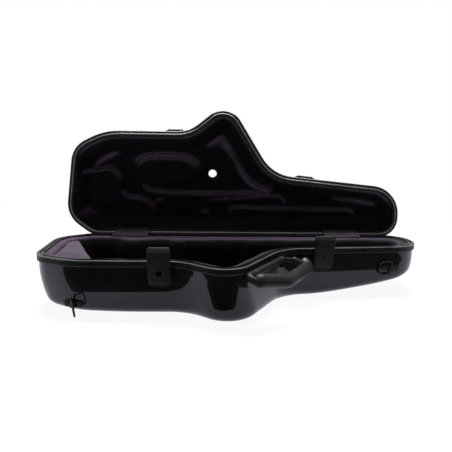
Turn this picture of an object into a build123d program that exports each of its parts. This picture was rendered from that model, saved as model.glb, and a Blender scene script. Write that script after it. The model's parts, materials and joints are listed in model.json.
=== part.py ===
"""Shaped hard case for an alto saxophone, lid open, in millimetres.

X runs along the case, +Y towards the hinges and +Z up. The origin is on the floor
that the case rests on. The ridge line is the middle of the groove where base and lid
meet, and every outline is measured outward from it.
"""
import os
from math import cos, radians, sin

from build123d import *

os.makedirs("parts", exist_ok=True)

# Case body
ridge_length = 650.0            # ridge line, end to end
ridge_width = 235.0             # ridge line, hinge wall to the share of 1
hinge_wall = 100.0              # ridge line at the hinges, behind the origin
base_depth = 88.0               # floor to the plane where base and lid meet
lid_depth = 72.0                # the same plane to the top of the closed lid
wall = 3.0                      # moulded shell
base_edge_radius = 18.0         # outside rounding of the base's bottom edge
floor_flat = 0.2                # how far the rounded underside is cut flat where it rests
lid_edge_radius = 20.0
open_angle = 96.0               # how far the lid stands open
cut_over = 6.0                  # how far a cutting shape runs past what it cuts
fit = 0.3                       # clearance between pieces that don't slide
seat = 0.1                      # clearance between a fitting and its wall
run_clearance = 0.05            # radial clearance of a pin in its bore

# Corners of the outline in order from the hinge wall's left end, each with its bend
# radius: share of the length, share of the width, radius as a share of the width
rim_shares = (
    (-0.430, 0.000, 0.170), (-0.5015, 0.145, 0.190), (-0.482, 0.694, 0.183),
    (-0.392, 0.819, 0.510), (-0.137, 0.819, 0.320), (-0.0257, 1.065, 0.145),
    (0.108, 0.470, 0.360), (0.4985, 0.362, 0.213), (0.4985, 0.000, 0.136))
mid_shares = (
    (-0.430, 0.004, 0.170), (-0.5005, 0.145, 0.190), (-0.481, 0.692, 0.183),
    (-0.392, 0.815, 0.510), (-0.134, 0.815, 0.320), (-0.017, 1.068, 0.190),
    (0.118, 0.472, 0.360), (0.4980, 0.362, 0.213), (0.4980, 0.004, 0.136))
foot_shares = (
    (-0.415, 0.030, 0.170), (-0.478, 0.160, 0.190), (-0.460, 0.670, 0.183),
    (-0.380, 0.790, 0.450), (-0.128, 0.790, 0.320), (-0.008, 1.055, 0.240),
    (0.125, 0.462, 0.360), (0.475, 0.345, 0.200), (0.475, 0.030, 0.136))
left_lower, front_left, front_bell = 2, 3, 4    # places of corners in these tables
neck_inner, neck_end = 6, 7
rim_flare, mid_flare, foot_flare = 4.0, 3.0, 1.0   # shell outside the ridge line
mid_drop = 44.0                 # level of the middle outline, from the meeting plane

# Side view of floor and lid top: share of the length, rise as a share of the depth. The
# profile is level wherever its rise is zero, and between two such points it is flat
base_profile_shares = (
    (-0.615, 0.182), (-0.508, 0.102), (-0.385, 0.036), (-0.231, 0.000),
    (0.177, 0.000), (0.323, 0.108), (0.438, 0.273), (0.615, 0.659))
lid_profile_shares = (
    (-0.615, 0.160), (-0.508, 0.095), (-0.385, 0.030), (-0.231, 0.000), (-0.031, 0.000),
    (0.125, 0.010), (0.300, 0.135), (0.438, 0.270), (0.615, 0.560))

# Rims, groove and seal
rim_height = 10.0
rim_out = 7.0                   # outer face, outside the ridge line
rim_in = 4.0                    # inner face, inside the ridge line
rim_edge = 1.2                  # chamfer of the outer edges
rim_line_low, rim_line_high = 3.6, 6.4   # shallow line round the outer face
rim_line_depth = 0.9
groove_half = 1.9
groove_depth = 4.2
seal_half = 1.6
seal_height = 1.2
tongue_half = 1.5
tongue_height = 2.5
tongue_edge = 0.5
meeting_gap = 0.4               # base rim to closed lid rim

# Linings and pads
ledge_width = 20.0              # lining between shell and cavity, measured at the rim
base_floor_pad = 12.0
lid_top_pad = 14.0
ledge_drop = 3.0                # ledge below the meeting plane
cavity_edge_radius = 7.0
back_bulge_radius = 60.0
back_bulge_share = -0.2815      # middle of the bulge, share of the length
back_bulge_reach = 37.0         # bulge's nose in front of the hinge wall's ridge line
saddle_shares = (-0.165, 0.165) # middle of each saddle that the body rests on
saddle_thickness = 26.0
saddle_drop = 48.0              # saddle top below the meeting plane
bow_pad_shares = (
    (-0.458, 0.045, 0.040), (-0.490, 0.140, 0.080), (-0.475, 0.660, 0.090),
    (-0.390, 0.780, 0.120), (-0.341, 0.745, 0.055))
bow_pad_heights = (14.0, 40.0, 66.0, 77.0, 84.0)   # outlines of the pad, from its foot
bow_pad_insets = (1.0, 0.0, 0.5, 2.0, 6.0)
vent_radius = 8.9
vent_share = -0.0697
vent_reach = 120.8              # in front of the hinge wall's ridge line

# Hinges
hinge_back, hinge_drop = 10.0, 9.0       # hinge axis from the ridge line
hinge_shares = {"left": -0.313, "right": 0.3246}
hinge_width = 46.0
knuckle_radius = 2.7
hinge_pin_radius = 1.25
knuckle_share = 0.17            # half of the lid's middle knuckle
leaf_front_near, leaf_front_far = 5.7, 4.8   # leaf's outer face beside and away from the rim
leaf_near, leaf_far = 14.2, 32.0             # the same places from the meeting plane
leaf_arm = 1.5
leaf_rivet_radius = 2.4
leaf_rivet_front = 6.3
leaf_rivet_level = 24.0
leaf_rivet_shares = (-0.35, 0.0, 0.35)
hinge_cover_width = 68.0
hinge_cover_depth = 15.5
hinge_cover_height = 2.6
hinge_cover_round = 1.1
hinge_cover_corner = 4.0

# Latches
latch_x = {"left": -121.5, "right": 143.5}
latch_width = 33.0
latch_front, latch_back = 14.5, 8.5      # lever faces outside the ridge line, hooked
latch_top, latch_bottom = 22.5, -34.0    # from the meeting plane
latch_pin_out, latch_pin_height = 9.8, -30.5
latch_pin_radius = 1.5
latch_rest_angle = 8.0          # lever tipped out of the keeper
lip_bottom, lip_back = 11.6, 6.5
lip_bevel_out, lip_bevel_height = 3.6, 5.0
lever_foot_bevel = 3.0
lever_edge = 1.2
lever_top_corner, lever_foot_corner = 3.0, 7.0
skirt_thickness = 2.6
skirt_back = 6.3
skirt_low, skirt_high = -26.5, -12.0
ear_offset, ear_thickness, ear_radius = 10.0, 4.0, 2.8
latch_plate_front = 5.8
latch_plate_width = 35.0
latch_plate_top, latch_plate_bottom = -14.0, -41.0
latch_plate_corner = 9.0
latch_screw_radius, latch_screw_height = 2.2, 0.9
latch_screw_spread = 22.0
latch_screw_level = -20.0      # behind the lever
lock_height = {"left": -16.0, "right": -13.5}
lock_radius, lock_depth, lock_clearance = 4.7, 4.5, 0.1
lock_proud = 0.3
key_radius, key_depth = 1.25, 3.0

# Keepers on the lid's rim
keeper_x = {"left": -119.0, "right": 139.5}
keeper_plate_width, keeper_width = 38.0, 30.0
keeper_plate_front, keeper_front = 8.8, 11.4
keeper_low, keeper_high = 3.0, 11.0
keeper_edge = 0.8
keeper_screw_radius, keeper_screw_height, keeper_screw_level = 1.6, 0.6, 6.0

# Handle: a closed bow whose rear bar turns in two brackets
handle_x = (14.0, 72.0)                  # ends of the line that the axis lies on
handle_reach = (227.0, 140.0)            # the same ends in front of the hinge wall
handle_drop = 11.0                       # axis below the meeting plane
handle_tilt = 25.0                       # bow below level, resting on the neck wall
bar_radius = 5.25
bar_neck_radius = 3.4
bar_length = 101.0
bend_radius = 6.6
bow_left = -14.0                         # middle of the left band along the axis
bow_step = 14.0                          # left band out to the grip
grip_start_along, grip_start_out = -3.0, 15.5
grip_seam_along, grip_seam_out = 46.0, 38.0
grip_end_along, grip_end_out = 132.0, 36.5
grip_tip_along, grip_tip_out = 137.0, 25.0
grip_radius = 10.5
grip_seam_bend, grip_end_bend = 30.0, 11.0
grip_seam_gap = 0.6
arm_end_along, arm_end_out = 124.0, 12.5
arm_radius = 5.6
link_radius = 4.2
link_overlap = 1.5                       # link's start inside the end of the bar
eye_length = 7.0
bracket_places = (8.0, 93.0)             # middle of each bracket along the axis
bracket_foot_width, bracket_foot_height, bracket_foot_thickness = 22.0, 15.0, 2.4
bracket_foot_corner = 3.0
bracket_foot_room = 24.0                 # how far a bracket may reach in to the wall
bracket_screw_level = 11.0               # screws below the foot's top edge
bracket_screw_radius, bracket_screw_height, bracket_screw_spread = 1.9, 0.8, 15.0

# Strap rings
strap_plate_width, strap_plate_height, strap_plate_thickness = 30.0, 10.0, 2.0
strap_saddle_width, strap_saddle_height, strap_saddle_front = 8.0, 9.0, 6.6
strap_wire_radius = 1.6
strap_bar_out = 3.9                      # ring's bar outside the wall
strap_ring_length, strap_ring_reach = 24.0, 22.0
strap_inner_bend, strap_outer_bend = 3.6, 9.0
strap_plate_corner = 4.0
strap_saddle_round = 2.0
strap_screw_radius, strap_screw_height, strap_screw_spread = 2.1, 0.9, 21.0
strap_ring_angles = {"left": 127.0, "right": 0.0}   # how far each ring stands off its wall
strap_left_height = 18.0                 # plate middle above the floor
strap_right_x, strap_right_height = 270.0, 50.0

meeting = base_depth
axis_y = hinge_wall + hinge_back
axis_z = meeting - hinge_drop
hinge_axis = Axis((0, axis_y, axis_z), (1, 0, 0))
reach = ridge_length            # longer than anything a side view has to cut


# Outlines
def corner_points(shares, outward):
    """Corners of an outline moved outward, and the radius of each bend."""
    raw = [(x * ridge_length, hinge_wall - y * ridge_width, r * ridge_width) for x, y, r in shares]
    points, radii = [], []
    for i, (x, y, radius) in enumerate(raw):
        before, after = raw[i - 1], raw[(i + 1) % len(raw)]
        way_in = Vector(x - before[0], y - before[1]).normalized()
        way_out = Vector(after[0] - x, after[1] - y).normalized()
        out_in = Vector(way_in.Y, -way_in.X)
        out_out = Vector(way_out.Y, -way_out.X)
        moved = Vector(x, y) + (out_in + out_out) * (outward / (1 + out_in.dot(out_out)))
        turns_left = way_in.cross(way_out).Z > 0
        points.append((moved.X, moved.Y))
        radii.append(radius + outward if turns_left else radius - outward)
    return points, radii


def outline(shares, outward):
    """Face inside an outline."""
    points, radii = corner_points(shares, outward)
    with BuildSketch() as face:
        with BuildLine():
            FilletPolyline(*points, radius=radii, close=True)
        make_face()
    return face.sketch


def rim_ring(outer, inner, low, high):
    """Upright ring that follows the ridge line, between two offsets and two heights."""
    with BuildPart() as ring:
        with BuildSketch(Plane.XY.offset(low)):
            add(outline(rim_shares, outer))
            add(outline(rim_shares, inner), mode=Mode.SUBTRACT)
        extrude(amount=high - low)
    return ring.part


def profile(side, depth, profile_shares, lift):
    """Points of a side view, and its direction at each."""
    points = [Vector(x * ridge_length, meeting + side * (depth - rise * depth - lift))
              for x, rise in profile_shares]
    ways = []
    for i, (_, rise) in enumerate(profile_shares):
        chord = points[min(i + 1, len(points) - 1)] - points[max(i - 1, 0)]
        ways.append((chord if rise else Vector(chord.X, 0)).normalized())
    return points, ways


def tub(side, depth, profile_shares, outward, lift, edge_radius):
    """Solid tub below (side -1) or above (side +1) the meeting plane."""
    with BuildPart() as body:
        levels = (
            (rim_height, rim_shares, rim_flare),
            (mid_drop * depth / base_depth, mid_shares, mid_flare),
            (depth + cut_over, foot_shares, foot_flare))
        for drop, shares, flare in levels:
            with BuildSketch(Plane.XY.offset(meeting + side * drop)):
                add(outline(shares, flare + outward))
        loft()
        points, ways = profile(side, depth, profile_shares, lift)
        far_side = meeting - side * depth
        with BuildSketch(Plane.XZ.offset(-reach)):
            with BuildLine():
                Spline(*points, tangents=ways)
                Polyline(points[-1], (points[-1].X, far_side), (points[0].X, far_side), points[0])
            make_face()
        extrude(amount=reach + reach, mode=Mode.INTERSECT)
        floor = body.faces().sort_by(Axis.Z)[0 if side < 0 else -1]
        fillet(floor.edges(), edge_radius)
    return body.part


def base_tub(outward, lift, edge_radius):
    return tub(-1, base_depth, base_profile_shares, outward, lift, edge_radius)


def lid_tub(outward, lift, edge_radius):
    return tub(1, lid_depth, lid_profile_shares, outward, lift, edge_radius)


def swing_open(part):
    """A piece of the closed lid, turned to where the open lid holds it."""
    return part.rotate(hinge_axis, -open_angle)


# Places on the walls
def ridge_corner(index):
    x, y, _ = rim_shares[index]
    return Vector(x * ridge_length, hinge_wall - y * ridge_width)


def wall_point(first, second, x, out=0.0):
    """Point beside a straight run of the ridge line, with its two directions."""
    start, end = ridge_corner(first), ridge_corner(second)
    along = (end - start).normalized()
    outward = Vector(along.Y, -along.X)
    return start + along * ((x - start.X) / along.X) + outward * out, along, outward


def face_plane(first, second, x, height, out=0.0):
    """Plane on a wall seen from outside: X along the wall, Y up, Z outward."""
    point, along, outward = wall_point(first, second, x, out)
    return Plane(origin=(point.X, point.Y, height), x_dir=along, z_dir=outward)


def wall_hit(start, heading):
    """Where a line from inside the base meets its outer wall, and the way out there."""
    hits = base_outer.find_intersection_points(Axis(start, heading))
    hit, normal = max(hits, key=lambda found: (found[0] - start).dot(heading))
    return hit, normal if normal.dot(heading) > 0 else -normal


def section_plane(first, second, x, height):
    """Upright plane across a wall: X outward from the ridge line, Y up."""
    point, along, outward = wall_point(first, second, x)
    return Plane(origin=(point.X, point.Y, height), x_dir=outward, z_dir=-along)


with BuildPart() as base_body:
    add(base_tub(0, -floor_flat, base_edge_radius))
    split(bisect_by=Plane.XY, keep=Keep.TOP)
base_outer = base_body.part
base_keepout = base_tub(seat, -floor_flat - seat, base_edge_radius + seat)
lid_outer = lid_tub(0, 0, lid_edge_radius)
lid_keepout = lid_tub(seat, -seat, lid_edge_radius + seat)

# Base shell
with BuildPart() as base_shell:
    add(base_outer)
    add(base_tub(-wall, wall, base_edge_radius - wall), mode=Mode.SUBTRACT)
base_shell.part.label = "base_shell"
export_step(base_shell.part, "parts/base_shell.step")

# Base rim, with the groove for the lid's tongue
with BuildPart() as base_rim:
    add(rim_ring(rim_out, -rim_in, meeting - rim_height, meeting))
    top_edges = base_rim.faces().sort_by(Axis.Z)[-1].outer_wire().edges()
    chamfer(top_edges, rim_edge)
    add(rim_ring(groove_half, -groove_half, meeting - groove_depth, meeting + cut_over), mode=Mode.SUBTRACT)
    add(rim_ring(rim_out + cut_over, rim_out - rim_line_depth, meeting - rim_line_high,
                 meeting - rim_line_low), mode=Mode.SUBTRACT)
base_rim.part.label = "base_rim"
export_step(base_rim.part, "parts/base_rim.step")

# Rubber seal in the bottom of the groove
seal_floor = meeting - groove_depth
with BuildPart() as rim_seal:
    add(rim_ring(seal_half, -seal_half, seal_floor, seal_floor + seal_height))
rim_seal.part.label = "rim_seal"
export_step(rim_seal.part, "parts/rim_seal.step")

# Base lining: padded walls and floor round the cavity
cavity_out = -ledge_width - rim_flare
bulge_y = hinge_wall - back_bulge_reach + back_bulge_radius
with BuildPart() as base_cavity:
    add(base_tub(cavity_out, wall + base_floor_pad, cavity_edge_radius))
    with BuildSketch(Plane.XY.offset(meeting - rim_height)):
        add(outline(rim_shares, -ledge_width))
    extrude(amount=rim_height + cut_over)
    with BuildSketch(Plane.XY):
        with Locations((back_bulge_share * ridge_length, bulge_y)):
            Circle(back_bulge_radius)
    extrude(amount=meeting + cut_over, mode=Mode.SUBTRACT)
    with BuildSketch(Plane.XY):
        for share in saddle_shares:
            with Locations((share * ridge_length, 0)):
                Rectangle(saddle_thickness, reach)
    extrude(amount=meeting - saddle_drop, mode=Mode.SUBTRACT)

with BuildPart() as base_lining:
    add(base_tub(-wall - fit, wall + fit, base_edge_radius - wall - fit))
    with BuildSketch(Plane.XY.offset(meeting - rim_height)):
        add(outline(rim_shares, -rim_in - fit))
    extrude(amount=rim_height - ledge_drop)
    add(base_cavity.part, mode=Mode.SUBTRACT)
base_lining.part.label = "base_lining"
export_step(base_lining.part, "parts/base_lining.step")

# Bow pad: the loose block that fills the left end of the cavity
with BuildPart() as pad_room:
    add(base_tub(cavity_out - fit, wall + base_floor_pad + fit, cavity_edge_radius))
    with BuildSketch(Plane.XY.offset(meeting - rim_height)):
        add(outline(rim_shares, -ledge_width - fit))
    extrude(amount=rim_height)

with BuildPart() as bow_pad:
    for height, inset in zip(bow_pad_heights, bow_pad_insets):
        with BuildSketch(Plane.XY.offset(height)):
            add(outline(bow_pad_shares, -inset))
    loft()
    add(pad_room.part, mode=Mode.INTERSECT)
bow_pad.part.label = "bow_pad"
export_step(bow_pad.part, "parts/bow_pad.step")

# Lid shell, built closed and swung open
vent_x, vent_y = vent_share * ridge_length, hinge_wall - vent_reach
with BuildPart() as closed_lid_shell:
    add(lid_outer)
    add(lid_tub(-wall, wall, lid_edge_radius - wall), mode=Mode.SUBTRACT)
    with Locations((vent_x, vent_y, meeting + lid_depth)):
        Hole(vent_radius)
with BuildPart() as lid_shell:
    add(swing_open(closed_lid_shell.part))
lid_shell.part.label = "lid_shell"
export_step(lid_shell.part, "parts/lid_shell.step")

# Lid rim, with the tongue that presses into the seal
lid_rim_low = meeting + meeting_gap
lid_rim_high = meeting + rim_height
with BuildPart() as closed_lid_rim:
    add(rim_ring(rim_out, -rim_in, lid_rim_low, lid_rim_high))
    low_edges = closed_lid_rim.faces().sort_by(Axis.Z)[0].outer_wire().edges()
    chamfer(low_edges, rim_edge)
    add(rim_ring(tongue_half, -tongue_half, lid_rim_low - tongue_height, lid_rim_low))
    tip_edges = closed_lid_rim.faces().sort_by(Axis.Z)[0].edges()
    chamfer(tip_edges, tongue_edge)
    add(rim_ring(rim_out + cut_over, rim_out - rim_line_depth, meeting + rim_line_low,
                 meeting + rim_line_high), mode=Mode.SUBTRACT)
with BuildPart() as lid_rim:
    add(swing_open(closed_lid_rim.part))
lid_rim.part.label = "lid_rim"
export_step(lid_rim.part, "parts/lid_rim.step")

# Lid lining
lid_ledge = meeting + ledge_drop
with BuildPart() as lid_cavity:
    add(lid_tub(cavity_out, wall + lid_top_pad, cavity_edge_radius))
    with BuildSketch(Plane.XY.offset(meeting)):
        add(outline(rim_shares, -ledge_width))
    extrude(amount=rim_height)
with BuildPart() as closed_lid_lining:
    add(lid_tub(-wall - fit, wall + fit, lid_edge_radius - wall - fit))
    with BuildSketch(Plane.XY.offset(lid_ledge)):
        add(outline(rim_shares, -rim_in - fit))
    extrude(amount=rim_height - ledge_drop)
    add(lid_cavity.part, mode=Mode.SUBTRACT)
    with Locations((vent_x, vent_y, meeting + lid_depth)):
        Hole(vent_radius)
with BuildPart() as lid_lining:
    add(swing_open(closed_lid_lining.part))
lid_lining.part.label = "lid_lining"
export_step(lid_lining.part, "parts/lid_lining.step")


# Hinges, drawn across the hinge wall: outward from the ridge line, up from the meeting plane
arm_in, arm_out = rim_out + fit, rim_out + fit + leaf_arm
rim_clear = rim_height + fit
base_leaf_outline = (
    (-wall, -leaf_far), (leaf_front_far, -leaf_far), (leaf_front_near, -leaf_near),
    (hinge_back, -hinge_drop - knuckle_radius), (hinge_back, -hinge_drop), (arm_in + fit, -rim_clear),
    (leaf_front_near - leaf_arm, -hinge_drop - knuckle_radius), (-wall, -hinge_drop - knuckle_radius))
lid_leaf_outline = (
    (-wall, leaf_far), (leaf_front_far, leaf_far), (leaf_front_near, leaf_near),
    (arm_out, rim_clear + leaf_arm), (arm_out, -hinge_drop), (arm_in, -hinge_drop),
    (arm_in, rim_clear), (-wall, rim_clear))
base_knuckle_shares = ((-0.5, -knuckle_share), (knuckle_share, 0.5))
lid_knuckle_shares = ((-knuckle_share, knuckle_share),)


def across_hinge(x):
    """Plane across a hinge: X outward from the ridge line, Y up from the meeting plane."""
    return Plane(origin=(x, hinge_wall, meeting), x_dir=(0, 1, 0), z_dir=(1, 0, 0))


def leaf(x, points, knuckles, gaps, keepout):
    """One leaf with its knuckles and with room for the other leaf's."""
    section = across_hinge(x)
    room = knuckle_radius + fit
    with BuildPart() as body:
        with BuildSketch(section):
            with BuildLine():
                Polyline(*points, close=True)
            make_face()
        extrude(amount=hinge_width / 2, both=True)
        for low, high in gaps:
            with BuildSketch(section.offset(low * hinge_width)):
                with Locations((hinge_back, -hinge_drop)):
                    Rectangle(room + room, room + room)
            extrude(amount=(high - low) * hinge_width, mode=Mode.SUBTRACT)
        for low, high in knuckles:
            with BuildSketch(section.offset(low * hinge_width + fit / 2)):
                with Locations((hinge_back, -hinge_drop)):
                    Circle(knuckle_radius)
            extrude(amount=(high - low) * hinge_width - fit)
        with BuildSketch(section):
            with Locations((hinge_back, -hinge_drop)):
                Circle(hinge_pin_radius + run_clearance)
        extrude(amount=hinge_width, both=True, mode=Mode.SUBTRACT)
        add(keepout, mode=Mode.SUBTRACT)
    return body.part


def leaf_rivets(x, level, under):
    """Rivet heads on a leaf, seated on its outer face."""
    with BuildPart() as heads:
        with BuildSketch(Plane.XZ.offset(-hinge_wall)):
            for share in leaf_rivet_shares:
                with Locations((x + share * hinge_width, meeting + level)):
                    Circle(leaf_rivet_radius)
        extrude(amount=-leaf_rivet_front)
        for piece in under:
            add(piece, mode=Mode.SUBTRACT)
    return heads.part


base_rivet_parts, lid_rivet_parts = [], []
for side, share in hinge_shares.items():
    hinge_x = share * ridge_length
    base_leaf = leaf(hinge_x, base_leaf_outline, base_knuckle_shares, lid_knuckle_shares, base_keepout)
    lid_leaf = leaf(hinge_x, lid_leaf_outline, lid_knuckle_shares, base_knuckle_shares, lid_keepout)
    base_rivet_parts.append(leaf_rivets(hinge_x, -leaf_rivet_level, (base_leaf, base_keepout)))
    lid_rivet_parts.append(leaf_rivets(hinge_x, leaf_rivet_level, (lid_leaf, lid_keepout)))

    with BuildPart() as hinge_base_leaf:
        add(base_leaf)
    hinge_base_leaf.part.label = f"hinge_{side}_base_leaf"
    export_step(hinge_base_leaf.part, f"parts/hinge_{side}_base_leaf.step")

    with BuildPart() as hinge_lid_leaf:
        add(swing_open(lid_leaf))
    hinge_lid_leaf.part.label = f"hinge_{side}_lid_leaf"
    export_step(hinge_lid_leaf.part, f"parts/hinge_{side}_lid_leaf.step")

    with BuildPart() as hinge_pin:
        with BuildSketch(across_hinge(hinge_x)):
            with Locations((hinge_back, -hinge_drop)):
                Circle(hinge_pin_radius)
        extrude(amount=hinge_width / 2, both=True)
    hinge_pin.part.label = f"hinge_{side}_pin"
    export_step(hinge_pin.part, f"parts/hinge_{side}_pin.step")

    cover_top = lid_ledge - seat
    with BuildPart() as closed_cover:
        with BuildSketch(Plane.XY.offset(cover_top - hinge_cover_height)):
            with Locations((hinge_x, hinge_wall - rim_in - fit - hinge_cover_depth / 2)):
                RectangleRounded(hinge_cover_width, hinge_cover_depth, hinge_cover_corner)
        extrude(amount=hinge_cover_height)
        fillet(closed_cover.faces().sort_by(Axis.Z)[0].edges(), hinge_cover_round)
    with BuildPart() as hinge_cover:
        add(swing_open(closed_cover.part))
    hinge_cover.part.label = f"hinge_cover_{side}"
    export_step(hinge_cover.part, f"parts/hinge_cover_{side}.step")

with BuildPart() as base_hinge_rivets:
    add(base_rivet_parts)
base_hinge_rivets.part.label = "base_hinge_rivets"
export_step(base_hinge_rivets.part, "parts/base_hinge_rivets.step")

with BuildPart() as lid_hinge_rivets:
    add([swing_open(part) for part in lid_rivet_parts])
lid_hinge_rivets.part.label = "lid_hinge_rivets"
export_step(lid_hinge_rivets.part, "parts/lid_hinge_rivets.step")

# Latches and keepers, on the front wall and on the neck wall
latch_walls = {"left": (front_left, front_bell), "right": (neck_inner, neck_end)}
lever_outline = (
    (lip_back, lip_bottom), (latch_back, lip_bottom), (latch_back, latch_bottom),
    (latch_front - lever_foot_bevel, latch_bottom), (latch_front, latch_bottom + lever_foot_bevel),
    (latch_front, latch_top - lip_bevel_height), (latch_front - lip_bevel_out, latch_top),
    (lip_back, latch_top))
latch_screw_parts, keeper_screw_parts = [], []
keeper_keepout = rim_ring(rim_out + seat, -rim_in, meeting, meeting + rim_height)
for side, run in latch_walls.items():
    face = face_plane(*run, latch_x[side], meeting)
    section = section_plane(*run, latch_x[side], meeting)

    with BuildPart() as latch_plate:
        with BuildSketch(face.offset(-wall)):
            middle = (latch_plate_top + latch_plate_bottom) / 2
            with Locations((0, middle)):
                plate = Rectangle(latch_plate_width, latch_plate_top - latch_plate_bottom)
            fillet(plate.vertices().group_by(Axis.Y)[0], latch_plate_corner)
        extrude(amount=wall + latch_plate_front)
        add(base_keepout, mode=Mode.SUBTRACT)
        for offset in (-ear_offset, ear_offset):
            with BuildSketch(section.offset(offset)):
                with Locations((latch_pin_out, latch_pin_height)):
                    Circle(ear_radius)
                ear_root = latch_pin_out - latch_plate_front + fit
                with Locations((latch_pin_out - ear_root / 2, latch_pin_height)):
                    Rectangle(ear_root, ear_radius + ear_radius)
            extrude(amount=ear_thickness / 2, both=True)
        with BuildSketch(section):
            with Locations((latch_pin_out, latch_pin_height)):
                Circle(latch_pin_radius + run_clearance)
        extrude(amount=latch_width, both=True, mode=Mode.SUBTRACT)
    latch_plate.part.label = f"latch_{side}_plate"
    export_step(latch_plate.part, f"parts/latch_{side}_plate.step")

    with BuildPart() as latch_pin:
        with BuildSketch(section):
            with Locations((latch_pin_out, latch_pin_height)):
                Circle(latch_pin_radius)
        extrude(amount=latch_width / 2 - fit, both=True)
    latch_pin.part.label = f"latch_{side}_pin"
    export_step(latch_pin.part, f"parts/latch_{side}_pin.step")

    with BuildPart() as latch_screws:
        with BuildSketch(face.offset(latch_plate_front)):
            with Locations((0, latch_screw_level)):
                with GridLocations(latch_screw_spread, 0, 2, 1):
                    Circle(latch_screw_radius)
        extrude(amount=latch_screw_height)
        fillet(latch_screws.faces().filter_by(face).group_by(Axis(face.origin, face.z_dir))[-1].edges(),
               latch_screw_height / 2)
    latch_screw_parts.append(latch_screws.part)

    pin_at = section.from_local_coords((latch_pin_out, latch_pin_height, 0))
    rest = radians(latch_rest_angle)
    tipped = Plane(origin=pin_at, x_dir=section.x_dir * cos(rest) - section.y_dir * sin(rest),
                   z_dir=section.z_dir)
    points = [(u - latch_pin_out, v - latch_pin_height) for u, v in lever_outline]
    lever_out = Axis(tipped.origin, tipped.x_dir)
    lock_at = tipped.from_local_coords(
        (latch_front - latch_pin_out, lock_height[side] - latch_pin_height, 0))
    lock_face = Plane(origin=lock_at, x_dir=-tipped.z_dir, z_dir=tipped.x_dir)
    slot_reach = ear_radius + fit
    slot_back = latch_pin_out - latch_back + fit
    slot_bottom = latch_pin_height - latch_bottom + fit

    with BuildPart() as latch_lever:
        with BuildSketch(tipped):
            with BuildLine():
                Polyline(*points, close=True)
            make_face()
        extrude(amount=latch_width / 2, both=True)
        with BuildSketch(lock_face) as front:
            with Locations((0, (latch_top + latch_bottom) / 2 - lock_height[side])):
                Rectangle(latch_width, latch_top - latch_bottom)
            fillet(front.vertices().group_by(Axis.Y)[-1], lever_top_corner)
            fillet(front.vertices().group_by(Axis.Y)[0], lever_foot_corner)
        extrude(amount=latch_width, both=True, mode=Mode.INTERSECT)
        fillet(latch_lever.faces().sort_by(lever_out)[-1].edges(), lever_edge)
        for edge in (-1, 1):
            with BuildSketch(tipped.offset(edge * (latch_width - skirt_thickness) / 2)):
                low, high = skirt_low - latch_pin_height, skirt_high - latch_pin_height
                back = skirt_back - latch_pin_out
                with Locations(((back - slot_back + fit + fit) / 2, (low + high) / 2)):
                    Rectangle(-back - slot_back + fit + fit, high - low)
            extrude(amount=skirt_thickness / 2, both=True)
        for offset in (-ear_offset, ear_offset):
            with BuildSketch(tipped.offset(offset)):
                with Locations(((slot_reach - slot_back) / 2, (slot_reach - slot_bottom) / 2)):
                    Rectangle(slot_reach + slot_back, slot_reach + slot_bottom)
            extrude(amount=ear_thickness / 2 + fit, both=True, mode=Mode.SUBTRACT)
        with BuildSketch(tipped):
            Circle(latch_pin_radius + run_clearance)
        extrude(amount=latch_width, both=True, mode=Mode.SUBTRACT)
        with BuildSketch(lock_face):
            Circle(lock_radius + lock_clearance)
        extrude(amount=-lock_depth, mode=Mode.SUBTRACT)
    latch_lever.part.label = f"latch_{side}_lever"
    export_step(latch_lever.part, f"parts/latch_{side}_lever.step")

    with BuildPart() as latch_lock:
        with BuildSketch(lock_face.offset(seat - lock_depth)):
            Circle(lock_radius)
        extrude(amount=lock_depth - seat + lock_proud)
        chamfer(latch_lock.faces().sort_by(lever_out)[-1].edges(), lock_proud / 2)
        with BuildSketch(lock_face.offset(lock_proud)):
            Circle(key_radius)
        extrude(amount=-key_depth, mode=Mode.SUBTRACT)
    latch_lock.part.label = f"latch_{side}_lock"
    export_step(latch_lock.part, f"parts/latch_{side}_lock.step")

    keeper_face = face_plane(*run, keeper_x[side], meeting)
    with BuildPart() as closed_keeper:
        with BuildSketch(keeper_face.offset(rim_out + seat)):
            with Locations((0, (keeper_low + rim_height) / 2)):
                Rectangle(keeper_plate_width, rim_height - keeper_low)
        extrude(amount=keeper_plate_front - rim_out - seat)
        with BuildSketch(keeper_face.offset(rim_out + seat)):
            with Locations((0, (keeper_low + keeper_high) / 2)):
                Rectangle(keeper_width, keeper_high - keeper_low)
        extrude(amount=keeper_front - rim_out - seat)
        add(keeper_keepout, mode=Mode.SUBTRACT)
        outer_face = closed_keeper.faces().sort_by(Axis(keeper_face.origin, keeper_face.z_dir))[-1]
        chamfer(outer_face.edges(), keeper_edge)
    with BuildPart() as keeper:
        add(swing_open(closed_keeper.part))
    keeper.part.label = f"keeper_{side}"
    export_step(keeper.part, f"parts/keeper_{side}.step")

    with BuildPart() as closed_keeper_screws:
        with BuildSketch(keeper_face.offset(keeper_plate_front)):
            with Locations((0, keeper_screw_level)):
                with GridLocations((keeper_plate_width + keeper_width) / 2, 0, 2, 1):
                    Circle(keeper_screw_radius)
        extrude(amount=keeper_screw_height)
    keeper_screw_parts.append(swing_open(closed_keeper_screws.part))

with BuildPart() as latch_plate_screws:
    add(latch_screw_parts)
latch_plate_screws.part.label = "latch_plate_screws"
export_step(latch_plate_screws.part, "parts/latch_plate_screws.step")

with BuildPart() as keeper_screws:
    add(keeper_screw_parts)
keeper_screws.part.label = "keeper_screws"
export_step(keeper_screws.part, "parts/keeper_screws.step")

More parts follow.
